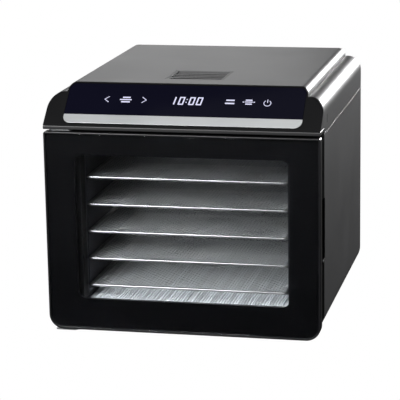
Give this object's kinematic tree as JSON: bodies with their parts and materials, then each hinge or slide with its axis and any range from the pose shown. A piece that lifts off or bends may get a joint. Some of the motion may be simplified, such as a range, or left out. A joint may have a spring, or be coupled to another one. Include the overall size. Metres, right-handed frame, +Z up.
{
  "type": "food dehydrator",
  "caption": "Countertop food dehydrator: sheet-metal box with a side-hinged glass door, wire trays on racks, a rear fan with a ring heater and a sloped touch panel.",
  "frame": {"origin": "on the surface that the feet stand on, under the middle of the bounding box", "axes": "+Z up, -Y out of the door, +X to the right seen from the door"},
  "size_m": [0.345, 0.37, 0.3125],
  "materials": {
    "housing_metal": "satin dark grey metallic",
    "satin_black": "satin moulded black",
    "panel_glass": "smoked, polished",
    "door_glass": "clear tempered, polished, with a black printed border",
    "trim_aluminium": "brushed along its length",
    "fan_aluminium": "plain stamped",
    "stainless": "bright stainless",
    "zinc_steel": "zinc plated",
    "foot_rubber": "matt black",
    "seal_silicone": "soft dark grey",
    "circuit_board": "green solder mask",
    "display": "black face with white segments",
    "ferrite": "dark ferrite",
    "ceramic": "unglazed white ceramic"
  },
  "bodies": {
    "cabinet": {"top_cover": "housing_metal", "side_panel_left": "housing_metal", "side_panel_right": "housing_metal", "base_plate": "zinc_steel", "rear_cover": "satin_black", "rear_screw_1": "zinc_steel", "rear_screw_2": "zinc_steel", "rear_screw_3": "zinc_steel", "rear_screw_4": "zinc_steel", "cord_inlet": "satin_black", "foot_1": "foot_rubber", "foot_2": "foot_rubber", "foot_3": "foot_rubber", "foot_4": "foot_rubber", "vent_grille": "satin_black", "control_fascia": "satin_black", "control_glass": "panel_glass", "trim_strip": "trim_aluminium", "control_board": "circuit_board", "display_module": "display", "door_header": "satin_black", "front_frame": "satin_black", "liner_left": "stainless", "liner_right": "stainless", "liner_ceiling": "stainless", "liner_floor": "stainless", "rack_left": "stainless", "rack_right": "stainless", "fan_baffle": "stainless", "temperature_probe": "zinc_steel", "thermal_cutout": "zinc_steel", "fan_motor": "zinc_steel", "motor_bracket": "zinc_steel", "heater_element": "zinc_steel", "heater_clip": "ceramic", "power_board": "circuit_board", "magnet_catch": "ferrite", "hinge_plate_upper": "zinc_steel", "hinge_plate_lower": "zinc_steel", "hinge_pin_upper": "zinc_steel", "hinge_pin_lower": "zinc_steel"},
    "door": {"door_frame": "satin_black", "door_glass": "door_glass", "door_seal": "seal_silicone", "door_seal_retainer": "satin_black", "door_strike": "zinc_steel"},
    "fan": {"fan_impeller": "fan_aluminium", "motor_shaft": "zinc_steel"},
    "drip_tray": {"drip_tray": "stainless"},
    "tray_1": {"tray_frame_1": "stainless", "tray_mesh_1": "stainless"},
    "tray_2": {"tray_frame_2": "stainless", "tray_mesh_2": "stainless"},
    "tray_3": {"tray_frame_3": "stainless", "tray_mesh_3": "stainless"},
    "tray_4": {"tray_frame_4": "stainless", "tray_mesh_4": "stainless"},
    "tray_5": {"tray_frame_5": "stainless", "tray_mesh_5": "stainless"}
  },
  "joints": [
    {"name": "door_hinge", "type": "hinge", "parent": "cabinet", "child": "door", "pos_m": [-0.1605, -0.17825, 0.006], "axis": [0, 0, -1], "range_deg": [0, 165]},
    {"name": "fan_spin", "type": "hinge", "parent": "cabinet", "child": "fan", "pos_m": [0, 0.1198, 0.13535], "axis": [0, 1, 0], "continuous": true},
    {"name": "tray_1_slide", "type": "slide", "parent": "cabinet", "child": "tray_1", "axis": [0, -1, 0], "range_m": [0, 0.20159]},
    {"name": "tray_2_slide", "type": "slide", "parent": "cabinet", "child": "tray_2", "axis": [0, -1, 0], "range_m": [0, 0.17279]},
    {"name": "tray_3_slide", "type": "slide", "parent": "cabinet", "child": "tray_3", "axis": [0, -1, 0], "range_m": [0, 0.14399]},
    {"name": "tray_4_slide", "type": "slide", "parent": "cabinet", "child": "tray_4", "axis": [0, -1, 0], "range_m": [0, 0.11519]},
    {"name": "tray_5_slide", "type": "slide", "parent": "cabinet", "child": "tray_5", "axis": [0, -1, 0], "range_m": [0, 0.08639]},
    {"name": "drip_tray_slide", "type": "slide", "parent": "cabinet", "child": "drip_tray", "axis": [0, -1, 0], "range_m": [0, 0.11519]}
  ],
  "couplings": [
    {"joint": "tray_1_slide", "follows": "door_hinge", "m_per_rad": 0.07},
    {"joint": "tray_2_slide", "follows": "door_hinge", "m_per_rad": 0.06},
    {"joint": "tray_3_slide", "follows": "door_hinge", "m_per_rad": 0.05},
    {"joint": "tray_4_slide", "follows": "door_hinge", "m_per_rad": 0.04},
    {"joint": "tray_5_slide", "follows": "door_hinge", "m_per_rad": 0.03},
    {"joint": "drip_tray_slide", "follows": "door_hinge", "m_per_rad": 0.04}
  ]
}
